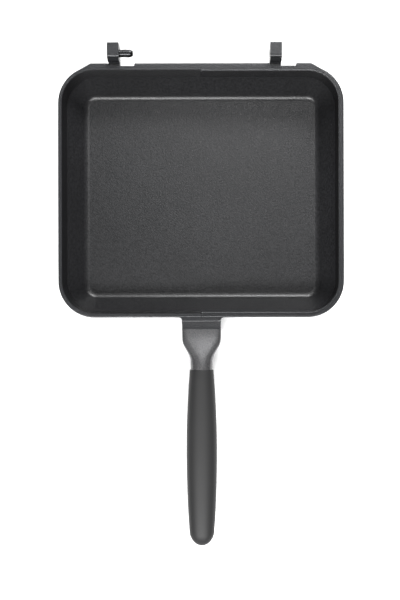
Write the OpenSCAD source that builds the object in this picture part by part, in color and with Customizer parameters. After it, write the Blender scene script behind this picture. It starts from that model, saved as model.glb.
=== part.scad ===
// One half of a double sided flip pan: a deep cast tray with its hinge lugs, pin, neck and soft grip.
// The pair is two copies of this part, one of them turned over about the Y axis at the rim:
// each raised lip then drops inside the other's plain rim, and each pin enters the other's bored lug.
// X runs across the pan, +Y towards the hinge and -Y towards the grip. The base stands on z = 0.

/* [Tray] */
// Width of the rim, side to side
rim_w = 266.4; // [230:0.2:310]
// Depth of the rim, front to back, without the ledge by the hinge
rim_d = 234.2; // [200:0.2:270]
// Height of the parting plane over the base
rim_h = 40; // [34:1:52]
// Corner radius of the rim
corner_r = 34; // [28:0.5:48]
// Thickness of the floor
floor_t = 4; // [3:0.1:6]
// Thickness of the walls
wall_t = 2.6; // [2:0.1:3.5]
// Width of the flat floor, side to side, up to the foot of the walls
floor_w = 225; // [190:1:230]
// Depth of the flat floor, front to back, up to the foot of the walls
floor_d = 193; // [165:1:198]
// Corner radius of the floor at the foot of the walls
floor_r = 10.5; // [9:0.5:20]
// Radius of the fillet between floor and walls
fillet_r = 6.8; // [4:0.2:8]
// Radius of the edge round the base
base_edge_r = 4; // [2:0.5:7]
// Angle of the lower walls over the floor
wall_angle = 53.8; // [50:0.1:66]
// Draft of the upper wall on the plain side
plain_draft = 7.5; // [5:0.1:9]
// Draft of the upper wall on the side with the lip
lipped_draft = 1.1; // [0.5:0.1:2]
// Draft of the outside of the upper walls
outer_draft = 4; // [1:0.5:6]
// Width of the band that the pan stands on
stand_w = 10; // [5:0.5:20]
// Depth of the recess inside that band
stand_recess = 0.6; // [0.3:0.1:1.2]

/* [Rim] */
// Height of the rim's bead
bead_h = 6; // [4:0.5:8]
// Radius of the bead's upper edge
bead_r = 1.2; // [0.6:0.1:2]
// Width of the lowered shoulder outside the sealing land
shoulder_w = 1.5; // [0.8:0.1:2]
// How far the shoulder lies under the parting plane
shoulder_drop = 0.5; // [0.3:0.1:1]
// Width of the sealing land
land_w = 2.3; // [1.6:0.1:3]
// Width of the raised lip
lip_w = 1.6; // [1.2:0.1:2.5]
// Height of the raised lip over the parting plane
lip_h = 2; // [1:0.1:3]
// Clearance between a lip and the rim that it drops into
lip_clearance = 0.3; // [0.2:0.05:0.6]
// Width of the gap where the lip stops, at the middle of the front and the back
seam_gap = 1.2; // [0.8:0.1:2]
// How far the ledge by the hinge stands out behind the rim
ledge_w = 2.8; // [1.5:0.1:3]
// Half length of the ledge's straight back edge
ledge_x = 102; // [95:1:106]

/* [Hinge] */
// Distance of the hinge axis behind the rim
hinge_out = 11.4; // [11.3:0.1:14]
// Inner face of the pin's lug, from the middle of the pan
lug_x = 75.6; // [55:0.1:85]
// Width of a lug
lug_w = 10.6; // [8:0.1:14]
// Gap between a lug and the other half's lug beside it
lug_gap = 0.6; // [0.4:0.1:2]
// Radius of a lug's barrel, and how far its square back reaches from the axis
barrel_r = 7.9; // [7:0.1:8]
// Height of a lug's flat top over the axis
lug_top = 8.3; // [7.8:0.1:8.4]
// Radius of the pin
pin_r = 3.45; // [3.3:0.05:4.5]
// How far the pin stands out of its lug
pin_out = 12.6; // [10:0.1:14]
// Radius of the pin's tail, which is pressed into its lug
tail_r = 3; // [2:0.05:3.2]
// Length of the pin's tail
tail_l = 9; // [6:0.5:10]
// Length of the pin's round nose
nose_l = 3.5; // [2:0.1:5]
// Radial clearance of the bore round the other half's pin
bore_clearance = 0.05; // [0.02:0.01:0.1]

/* [Neck] */
// Width of the boss that carries the neck
boss_w = 36.2; // [30:0.5:44]
// Length of the boss in front of the rim
boss_l = 11; // [9:0.1:16]
// Length of the neck
neck_l = 38.1; // [32:0.1:55]
// Width of the neck at the boss
neck_root_w = 36.8; // [30:0.5:44]
// Width of the neck at the grip
neck_waist_w = 20.8; // [16:0.2:22]
// Height of the neck at the boss
neck_root_h = 16; // [15:0.5:19]
// Height of the neck's top over the grip's widest line, at the boss
neck_rise = 5.6; // [4.5:0.1:8]
// Width of the tenon that enters the neck
tenon_w = 26; // [20:0.5:27]
// Length of the tenon
tenon_l = 16; // [12:0.5:20]
// Height of the tenon
tenon_h = 8; // [6:0.5:9]
// Width of the tongue that enters the grip
tongue_w = 12; // [8:0.5:13]
// Height of the tongue
tongue_h = 8; // [6:0.5:9]
// Length of the tongue
tongue_l = 58; // [40:1:75]
// Clearance round the tenon and the tongue
socket_clearance = 0.2; // [0.1:0.05:0.4]

/* [Grip] */
// Length of the grip
grip_l = 166; // [140:1:190]
// Width of the grip at its belly
grip_w = 28.8; // [26:0.2:34]
// Width of the grip where it meets the neck
grip_front_w = 22.4; // [22:0.2:25]
// Width of the grip where its round end starts
grip_tail_w = 23.6; // [20:0.2:25]
// Length of the grip's round end
cap_l = 13; // [9:0.5:18]
// Height of the grip over its widest line, at its belly
grip_top = 11; // [9.5:0.1:12]
// Depth of the grip under its widest line, at its belly
grip_under = 9.5; // [9:0.1:12]
// How far the grip's crown stays under the parting plane
crown_gap = 0.5; // [0.3:0.1:2]
// Thickness of the soft sleeve
sleeve_t = 2.2; // [1.5:0.1:2.6]
// Clearance between the sleeve and the core
sleeve_clearance = 0.05; // [0.02:0.01:0.1]
// Radius of the latch magnet
magnet_r = 5; // [4:0.1:6]
// Height of the latch magnet
magnet_h = 4; // [3:0.1:5]
// Distance of the magnet from the grip's end
magnet_in = 32; // [24:1:50]

/* [Screws] */
// Radius of a screw's shank
shank_r = 2; // [1.5:0.1:2.5]
// Radius of a screw's head
head_r = 3.9; // [3.2:0.1:4.5]
// Height of a screw's head
head_h = 2.2; // [1.6:0.1:2.6]
// Distance between the two neck screws
screw_pitch = 14; // [11:0.5:18]
// Radial clearance round the screws
screw_clearance = 0.1; // [0.05:0.05:0.3]

/* [Hidden] */
$fn = 64;

// An outline is [half width, front y, back y, front corner radius, back corner radius]
function inset(o, d) = [o[0] - d, o[1] + d, o[2] - d, o[3] - d, o[4] - d];
mating_outline = [rim_w / 2, -rim_d / 2, rim_d / 2, corner_r, corner_r];
outer_outline = inset(mating_outline, shoulder_w + land_w - wall_t);
plain_inset = shoulder_w + land_w;
lipped_inset = plain_inset + lip_clearance + lip_w;
plain_outline = inset(mating_outline, plain_inset);
lipped_outline = inset(mating_outline, lipped_inset);
floor_outline = [floor_w / 2, -floor_d / 2, floor_d / 2, floor_r, floor_r];
base_outline = inset(floor_outline, floor_t / tan(wall_angle) - wall_t / sin(wall_angle));
foot_r = min(fillet_r, floor_r / (1 + tan(wall_angle / 2)) - 0.1);
recess_r = 6;
recess_outline = [
  base_outline[0] - stand_w, base_outline[1] + stand_w, base_outline[2] - stand_w, recess_r, recess_r
];
shoulder_z = rim_h - shoulder_drop;
edge_cut = 0.4;
slot_depth = shoulder_drop + 0.7;
root_in = lipped_inset + 0.7;
cut_z = rim_h + lip_h + 1;

hinge_y = rim_d / 2 + hinge_out;
bored_lug_x = lug_x - lug_gap - lug_w;
valley = 3.7;
crest_r = 3;
crest_front = 0.76 * barrel_r;
lug_edge_r = 0.6;
notch_slack = 2.3;
notch_flare = 1.2;
bore_lead = 0.5;

grip_z = rim_h - crown_gap - grip_top;
boss_front = -rim_d / 2 - boss_l;
boss_top = rim_h - 1.5;
neck_top = grip_z + neck_rise;
neck_bottom = neck_top - neck_root_h;
seam_y = boss_front - neck_l;
grip_end = seam_y - grip_l;
tenon_z = neck_bottom + (neck_root_h - tenon_h) / 2 + 0.5;
tongue_z = grip_z - tongue_h / 2;
ring_points = 40;
screw_at = 38;
screw_seat_h = 3.5;
screw_sink = 0.6;
sleeve_edge_r = 0.7;

// A flat plate in an outline's shape
module plate(o) {
  straight = o[2] - o[4] - o[1] - o[3];
  translate([-o[0], o[1] + o[3]]) square([2 * o[0], straight]);
  translate([o[3] - o[0], o[1]]) square([2 * (o[0] - o[3]), o[3]]);
  translate([o[4] - o[0], o[2] - o[4]]) square([2 * (o[0] - o[4]), o[4]]);
  for (side = [-1, 1]) {
    translate([side * (o[0] - o[3]), o[1] + o[3]]) circle(o[3]);
    translate([side * (o[0] - o[4]), o[2] - o[4]]) circle(o[4]);
  }
}

// A quarter turn of a profile at a corner radius. Rounding can put the profile a hair behind the axis, so it is cut there.
module quarter(r) {
  rotate_extrude(angle = 90) intersection() {
    translate([r, 0]) children();
    translate([0, -rim_w]) square(2 * rim_w);
  }
}

// A profile carried round the right half of an outline. It is drawn outwards from the edge and upwards.
module half_edge(o, start = 0) {
  translate([o[0], o[2] - o[4], 0])
    rotate([90, 0, 0]) linear_extrude(o[2] - o[4] - o[1] - o[3]) children();
  translate([o[0] - o[4], o[2] - o[4], 0]) quarter(o[4]) children();
  translate([o[0] - o[3], o[1] + o[3], 0]) rotate([0, 0, -90]) quarter(o[3]) children();
  translate([start, o[2], 0])
    rotate([90, 0, 90]) linear_extrude(o[0] - o[4] - start) children();
  translate([start, o[1], 0])
    mirror([0, 1, 0]) rotate([90, 0, 90]) linear_extrude(o[0] - o[3] - start) children();
}

// The right half of a solid with even corners, whose sides follow a profile from -corner radius outwards
module half_solid(o, low, high) {
  translate([0, o[1] + o[3], low]) cube([o[0] - o[3], o[2] - o[1] - 2 * o[3], high - low]);
  half_edge(o) children();
}

module both_sides() {
  for (side = [0, 1]) mirror([side, 0, 0]) children();
}

// Sloping side of the tray, with a round foot
module sloping_profile(r, low, high, foot_r) {
  tangent = foot_r * tan(wall_angle / 2);
  polygon([
    [-r, low],
    [-tangent, low],
    [tangent * cos(wall_angle), low + tangent * sin(wall_angle)],
    [(high - low) / tan(wall_angle), high],
    [-r, high]
  ]);
  translate([-tangent, low + foot_r]) circle(foot_r);
}

// Steep upper side that widens upwards by a draft, passes its outline at the rim and ends in a chamfer
module steep_profile(r, low, top, draft) {
  edge_z = top - edge_cut;
  edge = (edge_z - rim_h) * tan(draft);
  polygon([
    [-r, low],
    [(low - rim_h) * tan(draft), low],
    [edge, edge_z],
    [edge + edge_cut + 1, top + 1],
    [-r, top + 1]
  ]);
}

module tray() {
  intersection() {
    both_sides() half_solid(base_outline, 0, shoulder_z)
      sloping_profile(base_outline[3], 0, shoulder_z, base_edge_r);
    both_sides() half_solid(outer_outline, -1, rim_h + 1)
      steep_profile(outer_outline[3], -1, rim_h, outer_draft);
  }
}

module cavity() {
  intersection() {
    both_sides() half_solid(floor_outline, floor_t, cut_z)
      sloping_profile(floor_r, floor_t, cut_z, foot_r);
    union() {
      half_solid(lipped_outline, 0, cut_z)
        steep_profile(lipped_outline[3], 0, cut_z - 1, lipped_draft);
      mirror([1, 0, 0]) half_solid(plain_outline, 0, rim_h + 1)
        steep_profile(plain_outline[3], 0, rim_h, plain_draft);
    }
  }
}

// What is cut off round the bead: a round upper edge and a chamfer under it
module bead_cutter_profile() {
  difference() {
    translate([-bead_r, shoulder_z - bead_r]) square(bead_r + 1);
    translate([-bead_r, shoulder_z - bead_r]) circle(bead_r);
  }
  polygon([
    [-1, rim_h - bead_h - 0.01],
    [0.01, rim_h - bead_h + 1],
    [1, rim_h - bead_h + 1],
    [1, rim_h - bead_h - 1],
    [-1, rim_h - bead_h - 1]
  ]);
}

// Room in the ledge for this half's own lug and the other half's lug beside it
module ledge_notch(from, to) {
  translate([0, rim_d / 2, rim_h - bead_h - 1]) linear_extrude(bead_h + 2)
    polygon([[from, 0], [to, 0], [to + notch_flare, ledge_w + 1], [from, ledge_w + 1]]);
}

module bead() {
  difference() {
    translate([0, 0, rim_h - bead_h]) linear_extrude(bead_h - shoulder_drop) plate(mating_outline);
    both_sides() half_edge(mating_outline) bead_cutter_profile();
  }
}

// Plan of the ledge: straight along the back, with slanted ends that run onto the corners
module ledge_plan() {
  from = [rim_w / 2 - corner_r, rim_d / 2 - corner_r];
  to = [ledge_x, rim_d / 2 + ledge_w];
  span = to - from;
  turn = atan2(span[1], span[0]) - acos(corner_r / norm(span));
  way = [cos(turn), sin(turn)];
  end = from + (corner_r - bead_r / 2) * way;
  inner = from + (corner_r - root_in) * way;
  half = [to, end, inner];
  polygon(concat(half, [for (k = [2:-1:0]) [-half[k][0], half[k][1]]]));
}

module ledge() {
  back = rim_d / 2 + ledge_w;
  difference() {
    translate([0, 0, rim_h - bead_h]) linear_extrude(bead_h - shoulder_drop) ledge_plan();
    translate([-ledge_x - 1, back, 0]) rotate([90, 0, 90]) linear_extrude(2 * ledge_x + 2)
      bead_cutter_profile();
    ledge_notch(-lug_x - lug_w, notch_slack - bored_lug_x);
    ledge_notch(bored_lug_x, lug_x + lug_w + notch_slack);
  }
}

module land_profile(r) {
  polygon([
    [-r, shoulder_z - 1],
    [0, shoulder_z - 1],
    [0, rim_h - edge_cut],
    [-edge_cut, rim_h],
    [-r, rim_h]
  ]);
}

module land() {
  o = inset(mating_outline, shoulder_w);
  both_sides() half_solid(o, shoulder_z - 1, rim_h) land_profile(o[3]);
}

module lip_profile() {
  round_r = min(0.6, lip_h / 2);
  translate([-lip_w - 1, rim_h - 1]) square([lip_w + 1, lip_h + 1 - round_r]);
  translate([-lip_w - 1, rim_h - 1]) square([lip_w + 1 - round_r, lip_h + 1]);
  translate([-round_r, rim_h + lip_h - round_r]) circle(round_r);
}

module lip() {
  half_edge(inset(mating_outline, plain_inset + lip_clearance), seam_gap / 2) lip_profile();
}

// Slots across the land where the lip stops. The front one runs out over the shoulder.
module seam_slots() {
  front = [-rim_d / 2 - 1, lipped_inset + 1];
  back = [rim_d / 2 - lipped_inset, lipped_inset - plain_inset + land_w / 2];
  for (slot = [front, back])
    translate([-seam_gap / 2, slot[0], rim_h - slot_depth]) cube([seam_gap, slot[1], slot_depth + lip_h + 1]);
}

// Straight sided body between two circles, drawn round both of them
module belt(a, ra, b, rb) {
  span = b - a;
  turn = atan2(span[1], span[0]);
  open = acos((ra - rb) / norm(span));
  translate(a) circle(ra);
  translate(b) circle(rb);
  polygon([
    a + ra * [cos(turn + open), sin(turn + open)],
    a + ra * [cos(turn - open), sin(turn - open)],
    b + rb * [cos(turn - open), sin(turn - open)],
    b + rb * [cos(turn + open), sin(turn + open)]
  ]);
}

// Side view of a lug about the hinge axis: barrel, square back and flat top
module lug_profile() {
  circle(barrel_r);
  square([barrel_r, lug_top - lug_edge_r]);
  belt(
    [crest_r - crest_front, lug_top - crest_r],
    crest_r,
    [barrel_r - lug_edge_r, lug_top - lug_edge_r],
    lug_edge_r
  );
}

// Root of a lug, which runs into the wall
module lug_root_profile() {
  reach = -hinge_out - root_in;
  polygon([
    [reach, -valley],
    [-barrel_r / 2, -valley],
    [0, -barrel_r * 0.9],
    [reach, -rim_h * 0.45]
  ]);
}

module lug(x) {
  translate([x, hinge_y, rim_h]) rotate([90, 0, 90]) {
    linear_extrude(lug_w) lug_profile();
    linear_extrude(lug_w) lug_root_profile();
  }
}

module pin_bore() {
  translate([-lug_x - tail_l, hinge_y, rim_h]) rotate([0, 90, 0]) cylinder(r = tail_r, h = tail_l + 1);
}

module lug_bore() {
  r = pin_r + bore_clearance;
  translate([bored_lug_x - 1, hinge_y, rim_h]) rotate([0, 90, 0]) cylinder(r = r, h = lug_w + 2);
  translate([bored_lug_x + lug_w - bore_lead, hinge_y, rim_h])
    rotate([0, 90, 0]) cylinder(r1 = r, r2 = r + 2 * bore_lead, h = 2 * bore_lead);
}

// Side view of the boss, with its rounded ridge, slope and ledge
module boss_profile() {
  ridge_r = 1.3;
  ridge_y = -rim_d / 2 - 3;
  slope_foot = boss_front + 1.8;
  root_z = neck_bottom - root_in / 2;
  root_y = base_outline[1] - root_z / tan(wall_angle) + wall_t / 2 / sin(wall_angle);
  polygon([
    [-rim_d / 2 + root_in, boss_top],
    [ridge_y, boss_top],
    [ridge_y - ridge_r, boss_top - ridge_r],
    [slope_foot, neck_top],
    [boss_front, neck_top],
    [boss_front, neck_bottom + 0.5],
    [root_y, root_z]
  ]);
  translate([ridge_y, boss_top - ridge_r]) circle(ridge_r);
}

// Cast fillet between a side of the boss and the rim
module boss_fillet(r) {
  low = rim_h - bead_h;
  translate([boss_w / 2 - 0.01, -rim_d / 2, low]) linear_extrude(boss_top - low)
    difference() {
      translate([0, -r]) square([r, r + 2]);
      translate([r, -r]) circle(r);
    }
}

module boss() {
  translate([-boss_w / 2, 0, 0]) rotate([90, 0, 90]) linear_extrude(boss_w) boss_profile();
  both_sides() boss_fillet(3);
  translate([-tenon_w / 2, boss_front - tenon_l, tenon_z]) cube([tenon_w, tenon_l + 2, tenon_h]);
}

module at_neck_screws() {
  for (side = [-1, 1])
    translate([side * screw_pitch / 2, boss_front - tenon_l / 2, neck_bottom]) children();
}

module pan_body() {
  color("dimgray") difference() {
    union() {
      tray();
      bead();
      ledge();
      land();
      lip();
      boss();
      lug(-lug_x - lug_w);
      lug(bored_lug_x);
    }
    cavity();
    seam_slots();
    pin_bore();
    lug_bore();
    at_neck_screws() cylinder(r = shank_r + screw_clearance, h = tenon_z + tenon_h - 1 - neck_bottom);
    translate([0, 0, -1]) linear_extrude(1 + stand_recess) plate(recess_outline);
  }
}

// The pin's shoulder stops on the lug's face, and only its thinner tail goes in
module hinge_pin() {
  bulge = 1.5;
  color("silver") translate([-lug_x, hinge_y, rim_h]) rotate([0, 90, 0]) rotate_extrude() {
    translate([0, -tail_l]) square([tail_r, tail_l + 1]);
    intersection() {
      square([pin_r, pin_out]);
      union() {
        square([pin_r, pin_out - nose_l]);
        translate([-bulge, pin_out - nose_l]) circle(pin_r + bulge);
      }
    }
  }
}

// A soft step from 0 to 1
function ease(t) = let (u = max(0, min(1, t))) u * u * (3 - 2 * u);
function power(v, p) = sign(v) * pow(abs(v), p);

// A rounded section across the handle: half width, height over and depth under its widest line, squareness
function section(y, half_w, over, under, z, squareness) = [
  for (i = [0:ring_points - 1])
    let (a = 360 * i / ring_points, s = sin(a))
      [half_w * power(cos(a), 2 / squareness), y, z + (s > 0 ? over : under) * power(s, 2 / squareness)]
];

// A closed skin over a row of sections, whose outer ones run towards -Y
module skin(rings) {
  n = len(rings[0]);
  last = len(rings) - 1;
  points = [for (ring = rings) each ring];
  sides = [
    for (k = [0:last - 1]) for (i = [0:n - 1])
      let (j = (i + 1) % n)
        each [
          [k * n + i, (k + 1) * n + j, k * n + j],
          [k * n + i, (k + 1) * n + i, (k + 1) * n + j]
        ]
  ];
  front = [for (i = [0:n - 1]) i];
  back = [for (i = [0:n - 1]) last * n + n - 1 - i];
  polyhedron(points, concat(sides, [front, back]));
}

// Sections of the neck at a share of its length, wide and flat at the boss, oval at the grip
function neck_section(t) =
  let (
    shoulder = ease((t - 0.25) / 0.52),
    half_w = (neck_root_w / 2 - 0.5 * t) * (1 - shoulder) + (neck_waist_w / 2 + 0.8 * (1 - t)) * shoulder,
    over = (neck_top - grip_z) + (grip_top - 1.6 - neck_top + grip_z) * ease(t),
    under = (grip_z - neck_bottom) + (grip_under - 1.2 - grip_z + neck_bottom) * ease(t)
  )
  section(boss_front - neck_l * t, half_w, over, under, grip_z, 7 - 4.6 * ease(t / 0.9));

module handle_neck() {
  steps = 20;
  c = socket_clearance;
  color("silver") difference() {
    union() {
      skin([for (k = [0:steps]) neck_section(k / steps)]);
      translate([-tongue_w / 2, seam_y - tongue_l, tongue_z]) cube([tongue_w, tongue_l + 4, tongue_h]);
    }
    translate([-tenon_w / 2 - c, boss_front - tenon_l - c, tenon_z - c])
      cube([tenon_w + 2 * c, tenon_l + c + 1, tenon_h + 2 * c]);
    at_neck_screws() {
      translate([0, 0, -1]) cylinder(r = shank_r + screw_clearance, h = tenon_z - neck_bottom + 2);
      translate([0, 0, -1]) cylinder(r = head_r + 2 * screw_clearance, h = head_h + screw_sink + 1);
    }
    at_grip_screw() cylinder(r = shank_r + screw_clearance, h = screw_seat_h + tongue_h);
  }
}

// A pan head screw, head down, its head's seat at z = 0
module screw(shank_l) {
  slot_l = head_r * 1.1;
  difference() {
    union() {
      translate([0, 0, -head_h]) cylinder(r = head_r, h = head_h);
      cylinder(r = shank_r, h = shank_l);
    }
    for (turn = [0, 90])
      rotate([0, 0, turn]) translate([-slot_l / 2, -0.5, -head_h - 1]) cube([slot_l, 1, 2.2]);
  }
}

module neck_screws() {
  color("gainsboro") at_neck_screws()
    translate([0, 0, head_h + screw_sink]) screw(tenon_z + tenon_h - 2 - neck_bottom - head_h - screw_sink);
}

// Half width, height and depth of the grip at a distance behind the neck, drawn in by a wall
function swell(at, front, belly, tail) =
  let (middle = (grip_l - cap_l) / 2, s = (at - middle) / middle)
    belly - (belly - (s < 0 ? front : tail)) * s * s;
function grip_section(at, wall, k) = section(
  seam_y - at,
  (swell(at, grip_front_w, grip_w, grip_tail_w) / 2 - wall) * k,
  (swell(at, grip_top - 1, grip_top, grip_top - 2) - wall) * k,
  (swell(at, grip_under - 0.8, grip_under, grip_under - 1.5) - wall) * k,
  grip_z,
  2.3
);

// Sections of the grip from a start to its round end, drawn in by a wall thickness
function grip_rings(wall, start = 0) =
  let (runs = 16, turns = 7, straight = grip_l - cap_l)
  concat(
    [for (k = [0:runs]) grip_section(start + (straight - start) * k / runs, wall, 1)],
    [for (k = [1:turns]) let (a = 88 * k / turns) grip_section(straight + (cap_l - wall) * sin(a), wall, cos(a))]
  );

module at_grip_screw() {
  translate([0, seam_y - screw_at, grip_z - tongue_h / 2 - screw_seat_h]) children();
}

module grip_screw_hole() {
  at_grip_screw() {
    translate([0, 0, -grip_under]) cylinder(r = head_r + 0.6, h = grip_under);
    cylinder(r = shank_r + screw_clearance, h = screw_seat_h + 1);
  }
}

module magnet_place() {
  translate([0, grip_end + magnet_in, grip_z + 2]) children();
}

module grip_core() {
  c = socket_clearance;
  color([0.2, 0.2, 0.2]) difference() {
    skin(grip_rings(sleeve_t + sleeve_clearance));
    translate([-tongue_w / 2 - c, seam_y - tongue_l - c, tongue_z - c])
      cube([tongue_w + 2 * c, tongue_l + c + 1, tongue_h + 2 * c]);
    grip_screw_hole();
    magnet_place() cylinder(r = magnet_r + c, h = grip_top);
  }
}

// The sleeve is one skin: up its inside to the front, over the rounded front edge and down its outside
module grip_sleeve() {
  inside = grip_rings(sleeve_t);
  edge = [for (a = [0, 30, 60]) grip_section(sleeve_edge_r * (1 - cos(a)), sleeve_edge_r * (1 - sin(a)), 1)];
  color([0.27, 0.27, 0.27]) difference() {
    skin(concat([for (k = [len(inside) - 1:-1:0]) inside[k]], edge, grip_rings(0, sleeve_edge_r)));
    grip_screw_hole();
  }
}

module grip_screw() {
  color("gainsboro") at_grip_screw() screw(screw_seat_h + tongue_h - 1);
}

module latch_magnet() {
  color("gray") magnet_place() cylinder(r = magnet_r, h = magnet_h);
}

pan_body();
hinge_pin();
handle_neck();
neck_screws();
grip_core();
grip_sleeve();
grip_screw();
latch_magnet();
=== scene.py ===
import math

import bpy
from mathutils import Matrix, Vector

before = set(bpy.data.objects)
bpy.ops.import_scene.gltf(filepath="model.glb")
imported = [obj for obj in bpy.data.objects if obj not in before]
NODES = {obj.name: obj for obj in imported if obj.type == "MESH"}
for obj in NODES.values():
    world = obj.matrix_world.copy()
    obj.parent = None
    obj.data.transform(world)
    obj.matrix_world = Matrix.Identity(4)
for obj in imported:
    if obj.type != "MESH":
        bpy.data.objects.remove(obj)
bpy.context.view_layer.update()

bl_info = {
    "name": "Flip pan half",
    "version": (1, 0, 0),
    "blender": (4, 5, 0),
    "location": "View3D > Sidebar > Flip pan",
    "description": "Dresses one half of a double sided flip pan and sets its studio",
    "category": "Object",
}

MM = 0.001

# Cells of noise in a metre
COAT_SPECKLE = 560
COAT_CLOUD = 14
PAINT_GRAIN = 2200
NECK_GRAIN = 1050
NECK_FLAKES = 1500
SOFT_GRAIN = 1800
SOFT_CLOUD = 30
STEEL_RINGS = 900
PAPER_CLOUD = 3

# The coat lies on faces that look this far towards the middle, and on faces that look up between these heights
INWARD_REACH = 4 * MM
FLOOR_TOP = 30 * MM
BASE_TOP = 2 * MM

# Points of a faceted node closer than this are one, and an edge that turns more than this stays sharp
SAME_POINT = 0.002 * MM
SHARP_TURN = math.radians(32)

# Place, aim, width and depth of each softbox, in metres
SOFTBOXES = {
    "back_softbox": ((0.25, 1.2, 1.0), (0, 0, 0), (0.8, 0.35)),
    "top_softbox": ((0.06, 0.42, 1.55), (0, 0, 0), (0.35, 0.3)),
    "front_softbox": ((-0.1, -0.95, 1.15), (0, 0.05, 0), (1.0, 0.25)),
}
FLOOR_SIZE = 8


# ---------------------------------------------------------------- sizes and colours

class StudioSettings(bpy.types.PropertyGroup):
    camera_x: bpy.props.FloatProperty(
        name="Camera X", description="Where the camera hangs, across the pan",
        default=15 * MM, unit="LENGTH")
    camera_y: bpy.props.FloatProperty(
        name="Camera Y", description="Where the camera hangs, along the pan",
        default=-117.7 * MM, unit="LENGTH")
    camera_z: bpy.props.FloatProperty(
        name="Camera height", description="Height of the camera over the floor",
        default=790 * MM, unit="LENGTH")
    lens: bpy.props.FloatProperty(
        name="Lens", description="Focal length on a 36 mm high frame, in millimetres", default=48.39)
    shift: bpy.props.FloatVectorProperty(
        name="Shift", description="Shift of the picture against the lens", size=2, default=(-0.029, 0.0301))
    roll: bpy.props.FloatProperty(
        name="Roll", description="Turn of the camera about its own axis",
        default=math.radians(-0.13), unit="ROTATION")
    floor_colour: bpy.props.FloatVectorProperty(
        name="Floor", description="Colour of the plain floor",
        subtype="COLOR", size=4, default=(0.93, 0.93, 0.93, 1), min=0, max=1)
    back_light: bpy.props.FloatProperty(
        name="Back softbox", description="Power of the softbox behind the hinge", default=39, unit="POWER")
    front_light: bpy.props.FloatProperty(
        name="Front softbox", description="Power of the softbox over the grip's end", default=39, unit="POWER")
    top_light: bpy.props.FloatProperty(
        name="Top softbox", description="Power of the softbox high behind the pan", default=4.7, unit="POWER")
    dome: bpy.props.FloatProperty(
        name="Dome", description="Strength of the even white surroundings", default=0.2)


class CastingSettings(bpy.types.PropertyGroup):
    coat_colour: bpy.props.FloatVectorProperty(
        name="Coat", description="Colour of the non-stick coat inside the tray",
        subtype="COLOR", size=4, default=(0.0128, 0.0129, 0.0139, 1), min=0, max=1)
    paint_colour: bpy.props.FloatVectorProperty(
        name="Paint", description="Colour of the paint on the rim and the outside",
        subtype="COLOR", size=4, default=(0.018, 0.0187, 0.0205, 1), min=0, max=1)
    rim_clear: bpy.props.FloatProperty(
        name="Coat's edge", description="Half depth of the tray within which walls can carry the coat",
        default=116.5 * MM, unit="LENGTH")


class HandleSettings(bpy.types.PropertyGroup):
    neck_colour: bpy.props.FloatVectorProperty(
        name="Neck", description="Colour of the neck's silver grey paint",
        subtype="COLOR", size=4, default=(0.112, 0.112, 0.115, 1), min=0, max=1)
    grip_colour: bpy.props.FloatVectorProperty(
        name="Grip", description="Colour of the soft grip",
        subtype="COLOR", size=4, default=(0.0125, 0.0125, 0.0128, 1), min=0, max=1)
    core_colour: bpy.props.FloatVectorProperty(
        name="Core", description="Colour of the hard plastic under the soft grip",
        subtype="COLOR", size=4, default=(0.01, 0.01, 0.01, 1), min=0, max=1)


class MetalSettings(bpy.types.PropertyGroup):
    pin_colour: bpy.props.FloatVectorProperty(
        name="Pin", description="Colour of the turned steel pin",
        subtype="COLOR", size=4, default=(0.03, 0.0305, 0.032, 1), min=0, max=1)
    screw_colour: bpy.props.FloatVectorProperty(
        name="Screws", description="Colour of the plated screws",
        subtype="COLOR", size=4, default=(0.55, 0.56, 0.57, 1), min=0, max=1)


# ---------------------------------------------------------------- material nodes

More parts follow.
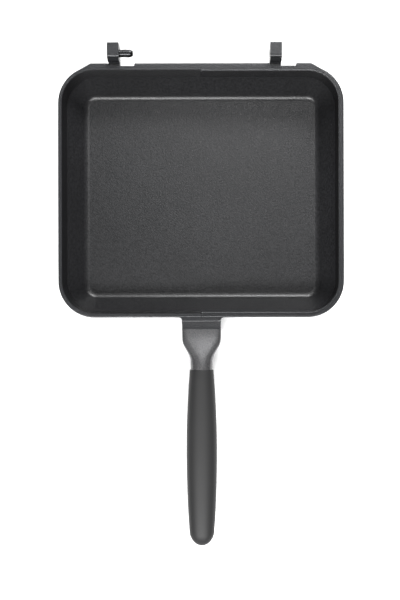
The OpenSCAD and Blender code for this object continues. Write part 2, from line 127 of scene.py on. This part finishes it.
class Finish:
    """A material that is drawn with a few short calls, one for each kind of node."""

    def __init__(self, name):
        self.material = bpy.data.materials.new(name)
        self.material.use_nodes = True
        self.tree = self.material.node_tree
        self.tree.nodes.clear()
        self.shader = self.add("ShaderNodeBsdfPrincipled")
        output = self.add("ShaderNodeOutputMaterial")
        self.tree.links.new(self.shader.outputs[0], output.inputs["Surface"])
        self.place = self.add("ShaderNodeTexCoord").outputs["Object"]

    def add(self, kind, **settings):
        node = self.tree.nodes.new(kind)
        for key, value in settings.items():
            setattr(node, key, value)
        return node

    def feed(self, socket, value):
        if isinstance(value, bpy.types.NodeSocket):
            self.tree.links.new(value, socket)
        else:
            socket.default_value = value

    def math(self, operation, a, b=0.0, clamp=False):
        node = self.add("ShaderNodeMath", operation=operation, use_clamp=clamp)
        self.feed(node.inputs[0], a)
        self.feed(node.inputs[1], b)
        return node.outputs[0]

    def noise(self, scale, detail=2.0, roughness=0.5, stretch=None):
        place = self.place
        if stretch:
            mapping = self.add("ShaderNodeMapping")
            self.feed(mapping.inputs["Vector"], place)
            mapping.inputs["Scale"].default_value = stretch
            place = mapping.outputs[0]
        node = self.add("ShaderNodeTexNoise")
        self.feed(node.inputs["Vector"], place)
        node.inputs["Scale"].default_value = scale
        node.inputs["Detail"].default_value = detail
        node.inputs["Roughness"].default_value = roughness
        return node.outputs["Fac"]

    def ramp(self, value, low, high, out_low=0.0, out_high=1.0):
        node = self.add("ShaderNodeMapRange")
        self.feed(node.inputs["Value"], value)
        for key, number in (("From Min", low), ("From Max", high), ("To Min", out_low), ("To Max", out_high)):
            node.inputs[key].default_value = number
        return node.outputs[0]

    def mix(self, share, a, b):
        node = self.add("ShaderNodeMix", data_type="RGBA")
        self.feed(node.inputs["Factor"], share)
        self.feed(node.inputs["A"], a)
        self.feed(node.inputs["B"], b)
        return node.outputs["Result"]

    def blend(self, share, a, b):
        node = self.add("ShaderNodeMix", data_type="FLOAT")
        self.feed(node.inputs["Factor"], share)
        self.feed(node.inputs["A"], a)
        self.feed(node.inputs["B"], b)
        return node.outputs["Result"]

    def relief(self, height, depth, strength=1.0):
        node = self.add("ShaderNodeBump")
        node.inputs["Strength"].default_value = strength
        node.inputs["Distance"].default_value = depth
        self.feed(node.inputs["Height"], height)
        self.feed(self.shader.inputs["Normal"], node.outputs[0])

    def set(self, **sockets):
        for key, value in sockets.items():
            self.feed(self.shader.inputs[key.replace("_", " ")], value)


def shades(colour, down, up):
    """A darker and a lighter colour round one."""
    return ([c * down for c in colour[:3]] + [1], [min(1, c * up) for c in colour[:3]] + [1])


def coat_share(finish, edge):
    """1 where the non-stick coat covers the casting: the tray's floor and the walls' inner faces."""
    place = finish.add("ShaderNodeSeparateXYZ")
    finish.feed(place.inputs[0], finish.place)
    facing = finish.add("ShaderNodeSeparateXYZ")
    finish.feed(facing.inputs[0], finish.add("ShaderNodeNewGeometry").outputs["Normal"])
    across = finish.math("MULTIPLY", place.outputs["X"], facing.outputs["X"])
    along = finish.math("MULTIPLY", place.outputs["Y"], facing.outputs["Y"])
    inward = finish.math("LESS_THAN", finish.math("ADD", across, along), -INWARD_REACH)
    upward = finish.math("GREATER_THAN", facing.outputs["Z"], 0.5)
    low = finish.math("LESS_THAN", place.outputs["Z"], FLOOR_TOP)
    above_base = finish.math("GREATER_THAN", place.outputs["Z"], BASE_TOP)
    within = finish.math("LESS_THAN", finish.math("ABSOLUTE", place.outputs["Y"]), edge)
    inside = finish.math("MAXIMUM", inward, finish.math("MULTIPLY", upward, low))
    return finish.math("MULTIPLY", inside, finish.math("MULTIPLY", above_base, within))


def casting_finish(settings):
    """Black, finely speckled coat inside, and grey, finely sanded paint on the rim and outside."""
    finish = Finish("flip_pan_casting")
    share = coat_share(finish, settings.rim_clear)
    coat_dark, coat_light = shades(settings.coat_colour, 0.6, 1.7)
    paint_dark, paint_light = shades(settings.paint_colour, 0.85, 1.15)
    speckle = finish.ramp(finish.noise(COAT_SPECKLE, 3, 0.8), 0.38, 0.62)
    grain = finish.ramp(finish.noise(PAINT_GRAIN, 2, 0.6), 0.3, 0.7)
    cloud = finish.noise(COAT_CLOUD, 3)
    coat = finish.mix(finish.math("MULTIPLY", speckle, cloud), coat_dark, coat_light)
    paint = finish.mix(grain, paint_dark, paint_light)
    paint_roughness = finish.ramp(grain, 0, 1, 0.25, 0.35)
    coat_roughness = finish.ramp(speckle, 0, 1, 0.28, 0.37)
    finish.set(
        Base_Color=finish.mix(share, paint, coat),
        Metallic=finish.blend(share, 0.35, 0.0),
        Roughness=finish.blend(share, paint_roughness, coat_roughness),
        Specular_IOR_Level=finish.blend(share, 0.5, 0.34),
    )
    finish.relief(finish.blend(share, grain, speckle), 0.07 * MM, 0.8)
    return finish.material


def neck_finish(settings):
    """Silver grey paint over a coarser cast skin."""
    finish = Finish("flip_pan_neck_paint")
    dark, light = shades(settings.neck_colour, 0.7, 1.35)
    grain = finish.ramp(finish.noise(NECK_GRAIN, 3, 0.7), 0.3, 0.7)
    flakes = finish.ramp(finish.noise(NECK_FLAKES, 2, 0.6), 0.4, 0.62)
    finish.set(
        Base_Color=finish.mix(flakes, dark, light),
        Metallic=0.8,
        Roughness=finish.ramp(grain, 0, 1, 0.27, 0.37),
    )
    finish.relief(grain, 0.06 * MM, 0.5)
    return finish.material


def soft_finish(name, colour, roughness):
    """Matte moulded skin with a very fine grain."""
    finish = Finish(name)
    dark, light = shades(colour, 0.93, 1.07)
    grain = finish.ramp(finish.noise(SOFT_GRAIN, 3, 0.6), 0.3, 0.7)
    finish.set(
        Base_Color=finish.mix(finish.noise(SOFT_CLOUD, 2), dark, light),
        Roughness=finish.ramp(grain, 0, 1, roughness - 0.04, roughness + 0.04),
        Specular_IOR_Level=0.27,
    )
    finish.relief(grain, 0.02 * MM, 0.4)
    return finish.material


def steel_finish(name, colour, turning, roughness):
    """Turned steel: fine rings round the axis given by the stretch."""
    finish = Finish(name)
    dark, light = shades(colour, 0.85, 1.1)
    rings = finish.noise(STEEL_RINGS, 3, 0.6, turning)
    finish.set(
        Base_Color=finish.mix(rings, dark, light),
        Metallic=1.0,
        Roughness=finish.ramp(rings, 0.3, 0.7, roughness - 0.06, roughness + 0.06),
    )
    finish.relief(rings, 0.01 * MM, 0.3)
    return finish.material


def dress(node, material):
    """Gives a CAD node its finish."""
    mesh = NODES[node].data
    mesh.materials.clear()
    mesh.materials.append(material)


def even_shading():
    """A modifier tree that joins a faceted node's points and shades it smoothly up to its sharp edges."""
    tree = bpy.data.node_groups.new("even_shading", "GeometryNodeTree")
    tree.interface.new_socket("Geometry", in_out="INPUT", socket_type="NodeSocketGeometry")
    tree.interface.new_socket("Geometry", in_out="OUTPUT", socket_type="NodeSocketGeometry")
    start, end = tree.nodes.new("NodeGroupInput"), tree.nodes.new("NodeGroupOutput")
    merge = tree.nodes.new("GeometryNodeMergeByDistance")
    merge.inputs["Distance"].default_value = SAME_POINT
    measure = tree.nodes.new("GeometryNodeInputMeshEdgeAngle")
    sharper = tree.nodes.new("FunctionNodeCompare")
    sharper.data_type, sharper.operation = "FLOAT", "GREATER_THAN"
    sharper.inputs["B"].default_value = SHARP_TURN
    normals = tree.nodes.new("GeometryNodeSetMeshNormal")
    normals.mode = "SHARPNESS"
    normals.inputs["Remove Custom"].default_value = True
    link = tree.links.new
    link(start.outputs[0], merge.inputs["Geometry"])
    link(merge.outputs[0], normals.inputs["Mesh"])
    link(measure.outputs["Unsigned Angle"], sharper.inputs["A"])
    link(sharper.outputs["Result"], normals.inputs["Edge Sharpness"])
    link(normals.outputs[0], end.inputs[0])
    return tree


def smooth(*nodes):
    """Gives faceted CAD nodes the even shading."""
    tree = even_shading()
    for node in nodes:
        modifier = NODES[node].modifiers.new("Even shading", "NODES")
        modifier.node_group = tree


# ---------------------------------------------------------------- operators

class FLIPPAN_OT_studio(bpy.types.Operator):
    """Sets the plain floor, the softboxes and the camera straight over the pan"""

    bl_idname = "flippan.studio"
    bl_label = "Studio"

    def softbox(self, name, power):
        place, aim, size = SOFTBOXES[name]
        light = bpy.data.lights.new(name, "AREA")
        light.shape = "RECTANGLE"
        light.size, light.size_y = size
        light.energy = power
        lamp = bpy.data.objects.new(name, light)
        lamp.location = place
        lamp.rotation_euler = (Vector(aim) - Vector(place)).to_track_quat("-Z", "Y").to_euler()
        bpy.context.scene.collection.objects.link(lamp)

    def execute(self, context):
        studio = context.scene.flippan_studio
        bpy.ops.mesh.primitive_grid_add(x_subdivisions=8, y_subdivisions=8, size=FLOOR_SIZE)
        floor = context.object
        floor.name = "studio_floor"
        paper = Finish("studio_paper")
        dark, light = shades(studio.floor_colour, 0.99, 1.01)
        paper.set(
            Base_Color=paper.mix(paper.noise(PAPER_CLOUD, 2), dark, light),
            Roughness=0.85,
            Specular_IOR_Level=0.2,
        )
        floor.data.materials.append(paper.material)

        world = bpy.data.worlds.new("studio_dome")
        world.use_nodes = True
        back = world.node_tree.nodes["Background"]
        back.inputs["Color"].default_value = (1, 1, 1, 1)
        back.inputs["Strength"].default_value = studio.dome
        context.scene.world = world

        self.softbox("back_softbox", studio.back_light)
        self.softbox("top_softbox", studio.top_light)
        self.softbox("front_softbox", studio.front_light)

        lens = bpy.data.cameras.new("over_the_pan")
        lens.sensor_fit = "VERTICAL"
        lens.sensor_height = 36
        lens.lens = studio.lens
        lens.shift_x, lens.shift_y = studio.shift
        lens.clip_start, lens.clip_end = 0.01, 20
        camera = bpy.data.objects.new("over_the_pan", lens)
        camera.location = (studio.camera_x, studio.camera_y, studio.camera_z)
        camera.rotation_euler.z = studio.roll
        context.scene.collection.objects.link(camera)
        context.scene.camera = camera
        context.scene.view_settings.view_transform = "Standard"
        return {"FINISHED"}


class FLIPPAN_OT_casting(bpy.types.Operator):
    """Gives the cast tray its non-stick coat inside and its paint outside"""

    bl_idname = "flippan.casting"
    bl_label = "Cast tray"

    def execute(self, context):
        dress("pan_body", casting_finish(context.scene.flippan_casting))
        return {"FINISHED"}


class FLIPPAN_OT_handle(bpy.types.Operator):
    """Gives the neck, the soft grip and its core their finishes"""

    bl_idname = "flippan.handle"
    bl_label = "Handle"

    def execute(self, context):
        handle = context.scene.flippan_handle
        dress("handle_neck", neck_finish(handle))
        dress("grip_sleeve", soft_finish("flip_pan_soft_grip", handle.grip_colour, 0.55))
        dress("grip_core", soft_finish("flip_pan_hard_core", handle.core_colour, 0.4))
        smooth("handle_neck", "grip_sleeve", "grip_core")
        return {"FINISHED"}


class FLIPPAN_OT_metal(bpy.types.Operator):
    """Gives the hinge pin, the screws and the magnet their finishes"""

    bl_idname = "flippan.metal"
    bl_label = "Pin, screws and magnet"

    def execute(self, context):
        metal = context.scene.flippan_metal
        dress("hinge_pin", steel_finish("flip_pan_pin_steel", metal.pin_colour, (1, 0.02, 0.02), 0.3))
        screws = steel_finish("flip_pan_screw_steel", metal.screw_colour, (0.02, 0.02, 1), 0.35)
        dress("neck_screws", screws)
        dress("grip_screw", screws)
        dress("latch_magnet", steel_finish("flip_pan_magnet", metal.screw_colour, (1, 1, 0.02), 0.25))
        return {"FINISHED"}


class FLIPPAN_PT_panel(bpy.types.Panel):
    """Lists the pieces of the flip pan's dressing"""

    bl_idname = "FLIPPAN_PT_panel"
    bl_label = "Flip pan"
    bl_space_type = "VIEW_3D"
    bl_region_type = "UI"
    bl_category = "Flip pan"

    def draw(self, context):
        for operator, settings in STEPS:
            box = self.layout.box()
            box.operator(operator.bl_idname)
            group = getattr(context.scene, settings)
            for key in group.__annotations__:
                box.prop(group, key)


STEPS = [
    (FLIPPAN_OT_studio, "flippan_studio"),
    (FLIPPAN_OT_casting, "flippan_casting"),
    (FLIPPAN_OT_handle, "flippan_handle"),
    (FLIPPAN_OT_metal, "flippan_metal"),
]
GROUPS = {
    "flippan_studio": StudioSettings,
    "flippan_casting": CastingSettings,
    "flippan_handle": HandleSettings,
    "flippan_metal": MetalSettings,
}


def register():
    for key, group in GROUPS.items():
        bpy.utils.register_class(group)
        setattr(bpy.types.Scene, key, bpy.props.PointerProperty(type=group))
    for operator, _ in STEPS:
        bpy.utils.register_class(operator)
    bpy.utils.register_class(FLIPPAN_PT_panel)


def unregister():
    bpy.utils.unregister_class(FLIPPAN_PT_panel)
    for operator, _ in reversed(STEPS):
        bpy.utils.unregister_class(operator)
    for key, group in GROUPS.items():
        delattr(bpy.types.Scene, key)
        bpy.utils.unregister_class(group)


def main():
    register()
    bpy.ops.flippan.studio()
    bpy.ops.flippan.casting()
    bpy.ops.flippan.handle()
    bpy.ops.flippan.metal()


if __name__ == "__main__":
    main()
